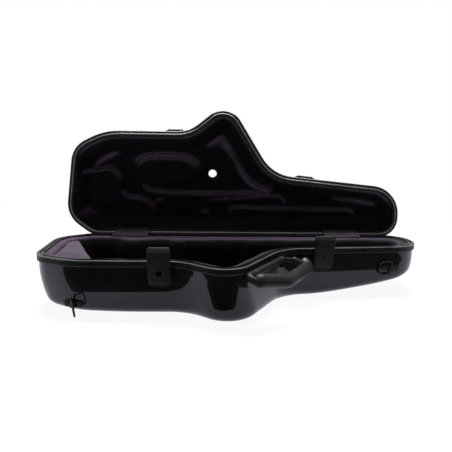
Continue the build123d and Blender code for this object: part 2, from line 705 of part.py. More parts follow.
# Handle. Its axis lies beside the sloping wall of the bell, and the bow lies in a plane
# through that axis, tipped down until its far end rests near the neck wall
axis_start = Vector(handle_x[0], hinge_wall - handle_reach[0], meeting - handle_drop)
axis_stop = Vector(handle_x[1], hinge_wall - handle_reach[1], meeting - handle_drop)
handle_along = (axis_stop - axis_start).normalized()
handle_out = Vector(handle_along.Y, -handle_along.X)
tilt = radians(handle_tilt)
bow_out = handle_out * cos(tilt) - Vector(0, 0, 1) * sin(tilt)
bow = Plane(origin=axis_start, x_dir=handle_along, z_dir=handle_along.cross(bow_out))


def across_axis(along):
    """Plane square to the handle's axis: X outward, Y down or up with the case upright."""
    return Plane(origin=axis_start + handle_along * along, x_dir=handle_out, z_dir=handle_along)


def swept_bar(points, radii, radius):
    """Round bar along straight runs and bends in the bow's plane."""
    with BuildPart() as bar:
        with BuildLine(bow) as route:
            if radii:
                FilletPolyline(*points, radius=radii)
            else:
                Line(*points)
        with BuildSketch(Plane(origin=route.line @ 0, z_dir=route.line % 0)):
            Circle(radius)
        sweep(path=route.line)
    return bar.part


grip_route = (
    (grip_start_along, grip_start_out), (grip_seam_along, grip_seam_out),
    (grip_end_along, grip_end_out), (grip_tip_along, grip_tip_out))
with BuildPart() as grip_blank:
    add(swept_bar(grip_route, [grip_seam_bend, grip_end_bend], grip_radius))
    with Locations(bow.from_local_coords((grip_start_along, grip_start_out, 0))):
        Sphere(grip_radius)
whole_grip = grip_blank.part
seam_before = Vector(grip_seam_along - grip_start_along, grip_seam_out - grip_start_out).normalized()
seam_after = Vector(grip_end_along - grip_seam_along, grip_end_out - grip_seam_out).normalized()
seam_way = seam_before + seam_after
seam_at = bow.from_local_coords((grip_seam_along, grip_seam_out, 0))
seam_end = bow.from_local_coords((grip_seam_along + seam_way.X, grip_seam_out + seam_way.Y, 0))
seam = Plane(origin=seam_at, z_dir=seam_end - seam_at)

with BuildPart() as handle_front_grip:
    add(whole_grip)
    split(bisect_by=seam.offset(-grip_seam_gap / 2), keep=Keep.BOTTOM)
handle_front_grip.part.label = "handle_front_grip"
export_step(handle_front_grip.part, "parts/handle_front_grip.step")

with BuildPart() as handle_side_grip:
    add(whole_grip)
    split(bisect_by=seam.offset(grip_seam_gap / 2), keep=Keep.TOP)
handle_side_grip.part.label = "handle_side_grip"
export_step(handle_side_grip.part, "parts/handle_side_grip.step")

# Thin core that joins the two grips across their seam
with BuildPart() as handle_core:
    with BuildSketch(seam.offset(-grip_seam_gap / 2)):
        Circle(bar_radius)
    extrude(amount=grip_seam_gap)
handle_core.part.label = "handle_core"
export_step(handle_core.part, "parts/handle_core.step")

band_end_along = grip_start_along + bend_radius
band_end_out = grip_start_out + bend_radius * (grip_start_out - bow_step) / (grip_start_along - bow_left)
bar_route = (
    (bar_length, 0), (bow_left, 0), (bow_left, bow_step), (band_end_along, band_end_out))
with BuildPart() as handle_bar:
    add(swept_bar(bar_route, [bend_radius, bend_radius], bar_radius))
    for place in bracket_places:
        with BuildSketch(across_axis(place - eye_length / 2 - fit)):
            Circle(bar_radius + fit)
            Circle(bar_neck_radius, mode=Mode.SUBTRACT)
        extrude(amount=eye_length + fit + fit, mode=Mode.SUBTRACT)
    add(whole_grip, mode=Mode.SUBTRACT)
handle_bar.part.label = "handle_bar"
export_step(handle_bar.part, "parts/handle_bar.step")

arm_route = ((grip_tip_along - arm_radius, grip_tip_out + arm_radius), (arm_end_along, arm_end_out))
with BuildPart() as handle_return_arm:
    add(swept_bar(arm_route, None, arm_radius))
    with Locations(bow.from_local_coords((arm_end_along, arm_end_out, 0))):
        Sphere(arm_radius)
    add(whole_grip, mode=Mode.SUBTRACT)
handle_return_arm.part.label = "handle_return_arm"
export_step(handle_return_arm.part, "parts/handle_return_arm.step")

link_route = ((bar_length - link_overlap, 0), (arm_end_along, arm_end_out))
with BuildPart() as link_blank:
    add(swept_bar(link_route, None, link_radius))
    add(handle_bar.part, mode=Mode.SUBTRACT)
    add(handle_return_arm.part, mode=Mode.SUBTRACT)
with BuildPart() as handle_link:
    add(link_blank.solids().sort_by(SortBy.VOLUME)[-1])
handle_link.part.label = "handle_link"
export_step(handle_link.part, "parts/handle_link.step")

# Brackets that hold the handle's bar, each with a foot that follows the wall
foot_room = base_tub(bracket_foot_thickness, -bracket_foot_thickness,
                     base_edge_radius + bracket_foot_thickness)
bracket_top = meeting - rim_height - fit
bracket_screw_parts = []
for side, place in zip(("left", "right"), bracket_places):
    on_axis = axis_start + handle_along * place
    with BuildPart() as bracket_foot:
        foot_back = Plane(origin=(on_axis.X, on_axis.Y, bracket_top - bracket_foot_height / 2),
                          x_dir=handle_along, z_dir=-handle_out)
        with BuildSketch(foot_back):
            RectangleRounded(bracket_foot_width, bracket_foot_height, bracket_foot_corner)
        extrude(amount=bracket_foot_room)
        add(foot_room, mode=Mode.INTERSECT)
    with BuildPart() as handle_bracket:
        arm_low = meeting - handle_drop - bar_radius
        arm_back = Plane(origin=(on_axis.X, on_axis.Y, (bracket_top + arm_low) / 2),
                         x_dir=handle_along, z_dir=-handle_out)
        with BuildSketch(arm_back):
            Rectangle(eye_length, bracket_top - arm_low)
        extrude(amount=bracket_foot_room)
        add(bracket_foot.part)
        with BuildSketch(across_axis(place - eye_length / 2)):
            Circle(bar_radius)
        extrude(amount=eye_length)
        with BuildSketch(across_axis(place)):
            Circle(bar_neck_radius + run_clearance)
        extrude(amount=eye_length, both=True, mode=Mode.SUBTRACT)
        add(base_keepout, mode=Mode.SUBTRACT)
    handle_bracket.part.label = f"handle_{side}_bracket"
    export_step(handle_bracket.part, f"parts/handle_{side}_bracket.step")

    for spread in (-bracket_screw_spread / 2, bracket_screw_spread / 2):
        start = on_axis + handle_along * spread - handle_out * bracket_foot_room
        start = Vector(start.X, start.Y, bracket_top - bracket_screw_level)
        hit, normal = wall_hit(start, handle_out)
        with BuildPart() as screw:
            with BuildSketch(Plane(origin=hit + normal * bracket_foot_thickness, z_dir=normal)):
                Circle(bracket_screw_radius)
            extrude(amount=bracket_screw_height)
            add(handle_bracket.part, mode=Mode.SUBTRACT)
        bracket_screw_parts.append(screw.part)

with BuildPart() as handle_screws:
    add(bracket_screw_parts)
handle_screws.part.label = "handle_screws"
export_step(handle_screws.part, "parts/handle_screws.step")

# Strap rings: a plate with a saddle, and a ring whose straight side turns in the saddle
left_corner, left_before, left_after = (ridge_corner(i) for i in (front_left, left_lower, front_bell))
corner_way = (left_before - left_corner).normalized() + (left_after - left_corner).normalized()
corner_in = corner_way.normalized()
left_start = left_corner + corner_in * ledge_width + Vector(0, 0, strap_left_height)
right_start, _, right_out = wall_point(neck_inner, neck_end, strap_right_x, -ledge_width)
strap_places = {
    "left": (left_start, -corner_in),
    "right": (right_start + Vector(0, 0, strap_right_height), right_out)}
for side, (start, heading) in strap_places.items():
    hit, normal = wall_hit(start, heading)
    mount = Plane(origin=hit, x_dir=Vector(0, 0, 1).cross(normal), z_dir=normal)

    with BuildPart() as strap_plate:
        with BuildSketch(mount.offset(-wall)):
            RectangleRounded(strap_plate_width, strap_plate_height, strap_plate_corner)
        extrude(amount=wall + strap_plate_thickness)
        with BuildSketch(mount):
            Rectangle(strap_saddle_width, strap_saddle_height)
        extrude(amount=strap_saddle_front)
        top = strap_plate.faces().sort_by(Axis(mount.origin, mount.z_dir))[-1]
        fillet(top.edges().filter_by(Axis(mount.origin, mount.y_dir)), strap_saddle_round)
        with BuildSketch(Plane(origin=mount.from_local_coords((0, 0, strap_bar_out)), z_dir=mount.y_dir)):
            Circle(strap_wire_radius + run_clearance)
        extrude(amount=strap_ring_length, both=True, mode=Mode.SUBTRACT)
        add(base_keepout, mode=Mode.SUBTRACT)
    strap_plate.part.label = f"strap_ring_{side}_plate"
    export_step(strap_plate.part, f"parts/strap_ring_{side}_plate.step")

    with BuildPart() as strap_screws:
        with BuildSketch(mount.offset(strap_plate_thickness)):
            with GridLocations(strap_screw_spread, 0, 2, 1):
                Circle(strap_screw_radius)
        extrude(amount=strap_screw_height)
        heads = strap_screws.faces().group_by(Axis(mount.origin, mount.z_dir))[-1]
        fillet(heads.edges(), strap_screw_height / 2)
    strap_screws.part.label = f"strap_ring_{side}_screws"
    export_step(strap_screws.part, f"parts/strap_ring_{side}_screws.step")

    turn = radians(strap_ring_angles[side])
    ring_way = mount.x_dir * -cos(turn) + mount.z_dir * sin(turn)
    ring_plane = Plane(origin=mount.from_local_coords((0, 0, strap_bar_out)), x_dir=ring_way,
                       z_dir=ring_way.cross(mount.y_dir))
    half = strap_ring_length / 2
    with BuildPart() as strap_ring:
        with BuildLine(ring_plane) as loop:
            FilletPolyline(
                (0, -half), (0, half), (strap_ring_reach, half), (strap_ring_reach, -half),
                radius=[strap_inner_bend, strap_inner_bend, strap_outer_bend, strap_outer_bend],
                close=True)
        with BuildSketch(Plane(origin=loop.line @ 0, z_dir=loop.line % 0)):
            Circle(strap_wire_radius)
        sweep(path=loop.line)
    strap_ring.part.label = f"strap_ring_{side}"
    export_step(strap_ring.part, f"parts/strap_ring_{side}.step")
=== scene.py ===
"""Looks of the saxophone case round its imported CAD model, in metres."""

import json
import math

import bpy
import numpy as np
from mathutils import Matrix, Vector, noise


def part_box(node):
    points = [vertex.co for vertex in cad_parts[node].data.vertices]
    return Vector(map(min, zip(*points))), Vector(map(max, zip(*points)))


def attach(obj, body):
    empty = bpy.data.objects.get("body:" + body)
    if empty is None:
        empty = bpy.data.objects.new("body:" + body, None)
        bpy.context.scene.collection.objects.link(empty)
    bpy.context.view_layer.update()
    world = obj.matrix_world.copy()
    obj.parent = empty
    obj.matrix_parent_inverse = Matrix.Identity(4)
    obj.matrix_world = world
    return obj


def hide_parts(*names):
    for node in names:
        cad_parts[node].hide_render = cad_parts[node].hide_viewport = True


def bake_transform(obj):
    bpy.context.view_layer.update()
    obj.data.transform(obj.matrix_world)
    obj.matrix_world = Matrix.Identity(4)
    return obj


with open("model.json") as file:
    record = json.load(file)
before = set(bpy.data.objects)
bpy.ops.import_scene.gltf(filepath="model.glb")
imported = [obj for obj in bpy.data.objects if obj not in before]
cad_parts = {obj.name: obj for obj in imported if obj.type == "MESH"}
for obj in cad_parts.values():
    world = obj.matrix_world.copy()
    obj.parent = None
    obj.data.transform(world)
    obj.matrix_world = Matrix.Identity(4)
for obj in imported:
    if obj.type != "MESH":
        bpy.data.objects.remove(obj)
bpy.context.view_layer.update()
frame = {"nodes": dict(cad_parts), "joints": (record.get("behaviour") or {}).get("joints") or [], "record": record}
scene = bpy.context.scene
nodes = frame["nodes"]
joints = {j["name"]: j for j in frame["joints"]}

# Sizes that the looks share with the solids
LENGTH, WIDTH, HINGE_WALL, MEETING = 0.650, 0.235, 0.100, 0.088
LID_DEPTH, AXIS_Y, AXIS_Z, OPEN_ANGLE = 0.072, 0.110, 0.079, math.radians(96.0)
RIM_IN, LEDGE, LEDGE_DROP, WALL, FIT = 0.004, 0.020, 0.003, 0.003, 0.0003
RIM_SHARES = (
    (-0.430, 0.000, 0.170), (-0.5015, 0.145, 0.190), (-0.482, 0.694, 0.183),
    (-0.392, 0.819, 0.510), (-0.137, 0.819, 0.320), (-0.0257, 1.065, 0.145),
    (0.108, 0.470, 0.360), (0.4985, 0.362, 0.213), (0.4985, 0.000, 0.136))
BASE_RISE = ((-0.615, 0.182), (-0.508, 0.102), (-0.385, 0.036), (-0.231, 0.0), (0.177, 0.0),
             (0.323, 0.108), (0.438, 0.273), (0.615, 0.659))
LID_RISE = ((-0.615, 0.160), (-0.508, 0.095), (-0.385, 0.030), (-0.231, 0.0), (-0.031, 0.0),
            (0.125, 0.010), (0.300, 0.135), (0.438, 0.270), (0.615, 0.560))
# Round hole through the lid, with the lid closed; its levels are above the meeting plane
VENT = np.array((-0.045305, -0.0208))
VENT_RADIUS, VENT_GAP = 0.0089, 0.0001
VENT_TOP, VENT_FOOT = 0.0715, 0.036


# Camera
PIXELS, FOCAL_PIXELS, SENSOR = 452, 407.16, 36.0
YAW, PITCH, ROLL = math.radians(1.751), math.radians(-10.21), math.radians(0.762)
EYE = Vector((-0.04197, -0.6816, 0.24602))
ahead = Vector((math.sin(YAW) * math.cos(PITCH), math.cos(YAW) * math.cos(PITCH), math.sin(PITCH)))
level_right = Vector((math.cos(YAW), -math.sin(YAW), 0))
level_up = level_right.cross(ahead)
view_right = level_right * math.cos(ROLL) + level_up * math.sin(ROLL)
view_up = level_up * math.cos(ROLL) - level_right * math.sin(ROLL)
camera_data = bpy.data.cameras.new("camera")
camera_data.sensor_width = SENSOR
camera_data.lens = SENSOR * FOCAL_PIXELS / PIXELS
camera_data.clip_end = 50.0
camera = bpy.data.objects.new("camera", camera_data)
scene.collection.objects.link(camera)
camera.matrix_world = Matrix((
    (view_right.x, view_up.x, -ahead.x, EYE.x),
    (view_right.y, view_up.y, -ahead.y, EYE.y),
    (view_right.z, view_up.z, -ahead.z, EYE.z),
    (0, 0, 0, 1)))
scene.camera = camera


def sight(u, v):
    """Direction from the camera through a place in the 452 by 452 picture."""
    half = PIXELS / 2
    across, upward = (u - half) / FOCAL_PIXELS, (half - v) / FOCAL_PIXELS
    return (ahead + view_right * across + view_up * upward).normalized()


# Places on the closed and the open lid
def swing(points, angle=-OPEN_ANGLE):
    """Turns points about the hinges, from the closed lid to the open one."""
    points = np.array(points, float).reshape(-1, 3)
    y, z = points[:, 1] - AXIS_Y, points[:, 2] - AXIS_Z
    c, s = math.cos(angle), math.sin(angle)
    return np.column_stack((points[:, 0], AXIS_Y + y * c - z * s, AXIS_Z + y * s + z * c))


def lid_place(u, v, depth):
    """Where the picture's u and v meet the open lid at a depth behind its rim: x and y of the closed lid."""
    on_plane = Vector(swing([(0, 0, MEETING + depth)])[0])
    normal = Vector(swing([(0, 0, MEETING + depth + 1)])[0]) - on_plane
    way = sight(u, v)
    hit = EYE + way * ((on_plane - EYE).dot(normal) / way.dot(normal))
    return swing([tuple(hit)], OPEN_ANGLE)[0][:2]


def base_place(u, v, z):
    """Where a place in the picture meets the level z, as x and y."""
    way = sight(u, v)
    hit = EYE + way * ((z - EYE.z) / way.z)
    return np.array((hit.x, hit.y))


# Outlines and distances from them
def outline(outward, step=0.002):
    """Points round the ridge line moved outward."""
    raw = [(x * LENGTH, HINGE_WALL - y * WIDTH, r * WIDTH) for x, y, r in RIM_SHARES]
    points = []
    for i, (x, y, radius) in enumerate(raw):
        before, after = raw[i - 1], raw[(i + 1) % len(raw)]
        a = Vector((x - before[0], y - before[1])).normalized()
        b = Vector((after[0] - x, after[1] - y)).normalized()
        out_a, out_b = Vector((a.y, -a.x)), Vector((b.y, -b.x))
        corner = Vector((x, y)) + (out_a + out_b) * (outward / (1 + out_a.dot(out_b)))
        turn = a.angle_signed(b)
        left = a.x * b.y - a.y * b.x > 0
        size = radius + outward if left else radius - outward
        reach = size * math.tan(abs(turn) / 2)
        start = corner - a * reach
        centre = start + (-out_a if left else out_a) * size
        count = max(4, int(size * abs(turn) / step))
        arm = start - centre
        for k in range(count + 1):
            angle = abs(turn) * k / count * (1 if left else -1)
            c, s = math.cos(angle), math.sin(angle)
            points.append((centre.x + arm.x * c - arm.y * s, centre.y + arm.x * s + arm.y * c))
    return np.array(points)


def rounded(points, rounds=3):
    """Closed outline with its corners cut again and again."""
    points = np.array(points, float)
    for _ in range(rounds):
        after = np.roll(points, -1, axis=0)
        points = np.stack((points * 0.75 + after * 0.25, points * 0.25 + after * 0.75), 1).reshape(-1, 2)
    return points


CIRCLE_POINTS = 64
BATCH = 8000


def circle(centre, radius):
    angles = np.arange(CIRCLE_POINTS) * (2 * math.pi / CIRCLE_POINTS)
    return np.column_stack((centre[0] + radius * np.cos(angles), centre[1] + radius * np.sin(angles)))


def inside(points, polygon):
    """Distance of each point from a closed outline, positive inside, and the nearest place on it."""
    a, b = polygon, np.roll(polygon, -1, axis=0)
    along = b - a
    squared = np.maximum((along ** 2).sum(1), 1e-12)
    distance, nearest = np.empty(len(points)), np.empty_like(points)
    odd = np.zeros(len(points), bool)
    for low in range(0, len(points), BATCH):
        p = points[low:low + BATCH]
        gap = p[:, None, :] - a[None]
        t = np.clip((gap * along[None]).sum(2) / squared, 0, 1)
        place = a[None] + along[None] * t[..., None]
        d = np.sqrt(((p[:, None, :] - place) ** 2).sum(2))
        k = d.argmin(1)
        rows = np.arange(len(p))
        distance[low:low + BATCH] = d[rows, k]
        nearest[low:low + BATCH] = place[rows, k]
        crosses = (a[None, :, 1] > p[:, 1:2]) != (b[None, :, 1] > p[:, 1:2])
        rise = np.where(np.abs(along[:, 1]) < 1e-12, 1e-12, along[:, 1])
        at = a[None, :, 0] + (p[:, 1:2] - a[None, :, 1]) / rise[None] * along[None, :, 0]
        odd[low:low + BATCH] = (crosses & (p[:, 0:1] < at)).sum(1) % 2 == 1
    return np.where(odd, distance, -distance), nearest


def ramp(value, start, end):
    """Smooth step from 0 at start to 1 at end."""
    t = np.clip((value - start) / (end - start), 0, 1)
    return t * t * t * (t * (6 * t - 15) + 10)


def ripple(points, scale, seed):
    """Smooth noise from -1 to 1 at each point."""
    return np.array([noise.noise(Vector((x * scale, y * scale, seed))) for x, y in points])


# Materials
def new_material(name):
    material = bpy.data.materials.new(name)
    material.use_nodes = True
    tree = material.node_tree
    return material, tree, tree.nodes["Principled BSDF"]


class Net:
    """Short calls for a node tree."""

    def __init__(self, tree):
        self.tree = tree

    def add(self, kind, **values):
        node = self.tree.nodes.new(kind)
        for key, value in values.items():
            setattr(node, key, value)
        return node

    def link(self, a, b):
        self.tree.links.new(a, b)

    def put(self, socket, value):
        if isinstance(value, (int, float, tuple)):
            socket.default_value = value
        else:
            self.link(value, socket)

    def math(self, operation, a, b=0.0):
        node = self.add("ShaderNodeMath", operation=operation)
        self.put(node.inputs[0], a)
        self.put(node.inputs[1], b)
        return node.outputs[0]

    def place(self, kind="Object"):
        return self.add("ShaderNodeTexCoord").outputs[kind]

    def noise(self, scale, detail=3.0, rough=0.55, vector=None):
        node = self.add("ShaderNodeTexNoise")
        node.inputs["Scale"].default_value = scale
        node.inputs["Detail"].default_value = detail
        node.inputs["Roughness"].default_value = rough
        self.link(vector or self.place(), node.inputs["Vector"])
        return node.outputs[0]

    def span(self, value, low, high, out_low, out_high, smooth=True):
        node = self.add("ShaderNodeMapRange", interpolation_type="SMOOTHSTEP" if smooth else "LINEAR")
        for socket, v in zip(node.inputs, (value, low, high, out_low, out_high)):
            self.put(socket, v)
        return node.outputs[0]

    def mix(self, share, a, b):
        node = self.add("ShaderNodeMix", data_type="RGBA")
        self.put(node.inputs[0], share)
        self.put(node.inputs[6], a)
        self.put(node.inputs[7], b)
        return node.outputs[2]

    def bump(self, height, distance, strength=1.0, normal=None):
        node = self.add("ShaderNodeBump")
        node.inputs["Distance"].default_value = distance
        node.inputs["Strength"].default_value = strength
        self.link(height, node.inputs["Height"])
        if normal:
            self.link(normal, node.inputs["Normal"])
        return node.outputs[0]


def rgb(r, g, b):
    return (r, g, b, 1.0)


TWILL_PITCH = 0.0042


def carbon_gloss():
    """Clear, slightly uneven gloss over a diagonal twill of dark fibre."""
    material, tree, shader = new_material("carbon_gloss")
    n = Net(tree)
    place = n.add("ShaderNodeSeparateXYZ")
    n.link(n.place(), place.inputs[0])
    facing = n.add("ShaderNodeSeparateXYZ")
    n.link(n.place("Normal"), facing.inputs[0])
    flat = n.span(n.math("ABSOLUTE", facing.outputs[2]), 0.62, 0.78, 0.0, 1.0)
    side = n.span(n.math("ABSOLUTE", facing.outputs[0]), 0.70, 0.84, 0.0, 1.0)
    x, y, z = place.outputs
    run = n.math("ADD", n.math("MULTIPLY", x, n.math("SUBTRACT", 1.0, side)), n.math("MULTIPLY", y, side))
    up = n.math("ADD", n.math("MULTIPLY", z, n.math("SUBTRACT", 1.0, flat)), n.math("MULTIPLY", y, flat))
    pitch = 2 * math.pi / TWILL_PITCH
    rib = n.math("SINE", n.math("MULTIPLY", n.math("ADD", run, up), pitch))
    tow = n.math("SINE", n.math("MULTIPLY", n.math("SUBTRACT", run, up), pitch * 2))
    weave = n.math("ADD", n.math("MULTIPLY", rib, 0.7), n.math("MULTIPLY", tow, 0.3))
    share = n.span(weave, -0.8, 0.8, 0.0, 1.0)
    patch = n.span(n.noise(9.0, 2.0), 0.35, 0.65, 0.75, 1.25)
    fibre = n.mix(share, rgb(0.0004, 0.0003, 0.0005), rgb(0.0046, 0.0039, 0.0062))
    tone = n.add("ShaderNodeMix", data_type="RGBA", blend_type="MULTIPLY")
    tone.inputs[0].default_value = 1.0
    n.link(fibre, tone.inputs[6])
    n.link(patch, tone.inputs[7])
    n.link(tone.outputs[2], shader.inputs["Base Color"])
    n.link(n.span(share, 0.0, 1.0, 0.50, 0.32), shader.inputs["Roughness"])
    n.link(n.bump(weave, 0.00012, 0.7), shader.inputs["Normal"])
    shader.inputs["IOR"].default_value = 1.5
    shader.inputs["Specular IOR Level"].default_value = 0.04
    n.link(n.span(share, 0.0, 1.0, 0.45, 1.0), shader.inputs["Coat Weight"])
    shader.inputs["Coat IOR"].default_value = 1.46
    shader.inputs["Coat Roughness"].default_value = 0.045
    uneven = n.math("ADD", n.noise(34.0, 2.0), n.math("MULTIPLY", n.noise(420.0, 3.0), 0.12))
    n.link(n.bump(uneven, 0.00035, 0.10), shader.inputs["Coat Normal"])
    return material


def satin(name, color, low, high, scale=260.0, depth=0.00006, metallic=0.0, wear=0.35, specular=0.5):
    """Moulded plastic, paint or metal: fine grain, cloudy gloss and a few rubbed places."""
    material, tree, shader = new_material(name)
    n = Net(tree)
    cloud = n.noise(24.0, 4.0, 0.6)
    grain = n.noise(scale, 4.0, 0.6)
    rubbed = n.span(n.math("MULTIPLY", n.noise(60.0, 6.0, 0.7), n.noise(11.0, 2.0)), 0.27, 0.40, 0.0, wear)
    light = tuple(min(1.0, c * 1.8 + 0.01) for c in color)
    deep, pale = (rgb(*[c * share for c in color]) for share in (0.8, 1.15))
    base = n.mix(n.span(cloud, 0.3, 0.7, 0.0, 1.0), deep, pale)
    n.link(n.mix(rubbed, base, rgb(*light)), shader.inputs["Base Color"])
    n.link(n.span(cloud, 0.3, 0.7, low, high), shader.inputs["Roughness"])
    n.link(n.bump(grain, depth, 0.6), shader.inputs["Normal"])
    shader.inputs["Metallic"].default_value = metallic
    shader.inputs["Specular IOR Level"].default_value = specular
    return material


PILE = 0.0005


def plush(name, color, lit, sheen, sheen_roughness, tint, painted_light_color=None):
    """Short pile: near black along the eye, paler where it turns away, and with painted light where a stored
    attribute marks faces turned up.
    """
    material, tree, shader = new_material(name)
    n = Net(tree)
    nap_and_painted_light = n.noise(55.0, 5.0, 0.65)
    stroke = n.add("ShaderNodeMapping")
    n.link(n.place(), stroke.inputs[0])
    stroke.inputs["Scale"].default_value = (1.0, 2.6, 2.6)
    swept = n.noise(17.0, 3.0, 0.6, stroke.outputs[0])
    fibre = n.noise(2600.0, 2.0, 0.7)
    share = n.math("ADD", n.math("MULTIPLY", nap_and_painted_light, 0.5), n.math("MULTIPLY", swept, 0.5))
    tone = n.mix(n.span(share, 0.32, 0.68, 0.0, 1.0), rgb(*color), rgb(*lit))
    # Painted light: a pale colour laid over the plush where the stored attribute says the face turns up to the
    # light.
    if painted_light_color:
        painted_light_map = n.add("ShaderNodeAttribute", attribute_name="nap_and_painted_light")
        amount = n.math("MULTIPLY", painted_light_map.outputs["Fac"], n.span(share, 0.32, 0.68, 0.75, 1.15))
        tone = n.mix(amount, tone, rgb(*painted_light_color))
    n.link(tone, shader.inputs["Base Color"])
    shader.inputs["Roughness"].default_value = 0.92
    shader.inputs["Specular IOR Level"].default_value = 0.06
    shader.inputs["Sheen Weight"].default_value = sheen
    shader.inputs["Sheen Roughness"].default_value = sheen_roughness
    shader.inputs["Sheen Tint"].default_value = rgb(*tint)
    coarse = n.bump(n.math("ADD", nap_and_painted_light, n.math("MULTIPLY", swept, 0.7)), PILE * 2.2, 0.45)
    n.link(n.bump(fibre, PILE, 0.5, coarse), shader.inputs["Normal"])
    return material


shell_look = carbon_gloss()
rim_look = satin("rim_satin", (0.0045, 0.0045, 0.005), 0.26, 0.38, 380.0, 0.00003, wear=0.06, specular=0.13)
seal_look = satin("seal_rubber", (0.012, 0.012, 0.012), 0.55, 0.7, 500.0)
latch_look = satin("latch_black", (0.0060, 0.0060, 0.0063), 0.34, 0.46, 900.0, 0.00005,
                   wear=0.12, specular=0.12)
grip_look = satin("grip_rubber", (0.0046, 0.0046, 0.005), 0.36, 0.48, 700.0, 0.00005,
                  wear=0.06, specular=0.12)
# Painted shade: a darker copy of the grip's finish, for the bar and the link that lie back in shade against the
# wall.
shaded_grip_look = satin("grip_plastic_shaded", (0.0034, 0.0034, 0.0038), 0.34, 0.46, 700.0, 0.00003,
                 wear=0.05, specular=0.09)
bracket_look = satin("bracket_paint", (0.007, 0.007, 0.0075), 0.34, 0.46, 500.0, 0.00004, 0.0, 0.12, 0.14)
hinge_look = satin("hinge_paint", (0.012, 0.012, 0.013), 0.34, 0.48, 500.0, 0.00004, 0.0, 0.2, 0.2)
bright_look = satin("dark_chrome", (0.026, 0.026, 0.028), 0.20, 0.32, 300.0, 0.00002, 1.0, 0.08)
# The lining's last colour is painted light, laid on faces that turn up to the light.
lining_look = plush("lining_plush", (0.0016, 0.0012, 0.0020), (0.0046, 0.0034, 0.0056), 0.16, 0.24,
                    (0.62, 0.52, 0.72), painted_light_color=(0.078, 0.056, 0.084))
# Painted light: the bow pad takes a much paler copy of the lining's velvet, for the light falling on its top.
lit_pad_look = plush("pad_plush_lit", (0.024, 0.0185, 0.0275), (0.042, 0.034, 0.046), 0.4, 0.36, (0.66, 0.57, 0.70))

slot_looks = {
    "shell": shell_look, "rim": rim_look, "seal": seal_look, "lining": lining_look, "pad": lit_pad_look,
    "handle_plastic": grip_look, "latch_metal": latch_look, "bracket_metal": bracket_look,
    "hinge_metal": hinge_look, "bright_metal": bright_look}
node_slots = {s["node"]: s["material_slot"] for s in frame["record"]["subparts"]}


def dress(obj, material):
    obj.data.materials.clear()
    obj.data.materials.append(material)


for name, obj in nodes.items():
    dress(obj, slot_looks[node_slots[name]])
# The bar and the link take the darker copy, as painted shade.
dress(nodes["handle_bar"], shaded_grip_look)
dress(nodes["handle_link"], shaded_grip_look)


def new_piece(name, vertices, faces, material):
    """Smooth mesh in a material."""
    mesh = bpy.data.meshes.new(name)
    mesh.from_pydata([tuple(map(float, v)) for v in vertices], [], [tuple(map(int, f)) for f in faces])
    mesh.update()
    obj = bpy.data.objects.new(name, mesh)
    scene.collection.objects.link(obj)
    for polygon in mesh.polygons:
        polygon.use_smooth = True
    dress(obj, material)
    return obj


# How much of the painted light stays where computed, and how far it spreads when softened.
PAINTED_LIGHT_KEPT, PAINTED_LIGHT_SPREAD = 0.55, 1.5


def store_painted_light(obj, painted_light_map, rounds=0):
    """Stores painted light as a vertex attribute, computed from the vertices' places and normals and softened in
    rounds.
    """
    count = len(obj.data.vertices)
    places, normals = np.empty(count * 3), np.empty(count * 3)
    obj.data.vertices.foreach_get("co", places)
    obj.data.vertex_normals.foreach_get("vector", normals)
    amount = painted_light_map(places.reshape(-1, 3), normals.reshape(-1, 3))
    ends = np.empty(len(obj.data.edges) * 2, dtype=np.int64)
    obj.data.edges.foreach_get("vertices", ends)
    a, b = ends.reshape(-1, 2).T
    near = np.bincount(a, minlength=count) + np.bincount(b, minlength=count)
    soft = amount.copy()
    for _ in range(rounds):
        total = np.bincount(a, soft[b], count) + np.bincount(b, soft[a], count)
        soft = (soft + total) / (near + 1)
    if rounds:
        amount = np.maximum(PAINTED_LIGHT_KEPT * amount, np.minimum(PAINTED_LIGHT_SPREAD * soft, 1.0))
    layer = obj.data.attributes.new("nap_and_painted_light", "FLOAT", "POINT")
    layer.data.foreach_set("value", amount)


# Linings: one sheet of plush over shaped foam in each half
def sheet_over(polygons, height, step):
    """Grid inside the first outline and outside the others, its edge vertices moved on to them."""
    outer = polygons[0]
    low, high = outer.min(0) - step, outer.max(0) + step
    xs, ys = np.arange(low[0], high[0] + step, step), np.arange(low[1], high[1] + step, step)
    grid = np.stack(np.meshgrid(xs, ys, indexing="ij"), -1).reshape(-1, 2)
    room, nearest = inside(grid, outer)
    for hole in polygons[1:]:
        d, near = inside(grid, hole)
        closer = -d < room
        room = np.where(closer, -d, room)
        nearest = np.where(closer[:, None], near, nearest)
    edge = np.abs(room) < 0.62 * step
    grid = np.where(edge[:, None], nearest, grid)
    kept = edge | (room > 0)
    rows = len(ys)
    i, j = np.meshgrid(np.arange(len(xs) - 1), np.arange(rows - 1), indexing="ij")
    corner = (i * rows + j).reshape(-1)
    quads = np.stack((corner, corner + rows, corner + rows + 1, corner + 1), 1)
    quads = quads[kept[quads].all(1)]
    used, faces = np.unique(quads, return_inverse=True)
    points = grid[used]
    return np.column_stack((points, height(points))), faces.reshape(-1, 4)


def skirt(vertices, faces, drop):
    """Adds a strip that turns down from the sheet's open edges."""
    seen = {}
    for face in faces:
        for a, b in zip(face, np.roll(face, -1)):
            key = (min(a, b), max(a, b))
            seen[key] = None if key in seen else (a, b)
    loose = [pair for pair in seen.values() if pair]
    extra, lower = {}, []
    for a, b in loose:
        for k in (a, b):
            if k not in extra:
                extra[k] = len(vertices) + len(lower)
                lower.append(vertices[k] + np.array((0, 0, drop)))
    strips = [(b, a, extra[a], extra[b]) for a, b in loose]
    return np.vstack((vertices, lower)), [tuple(f) for f in faces] + strips


EDGE_RADIUS, WALL_RUN = 0.006, 0.010


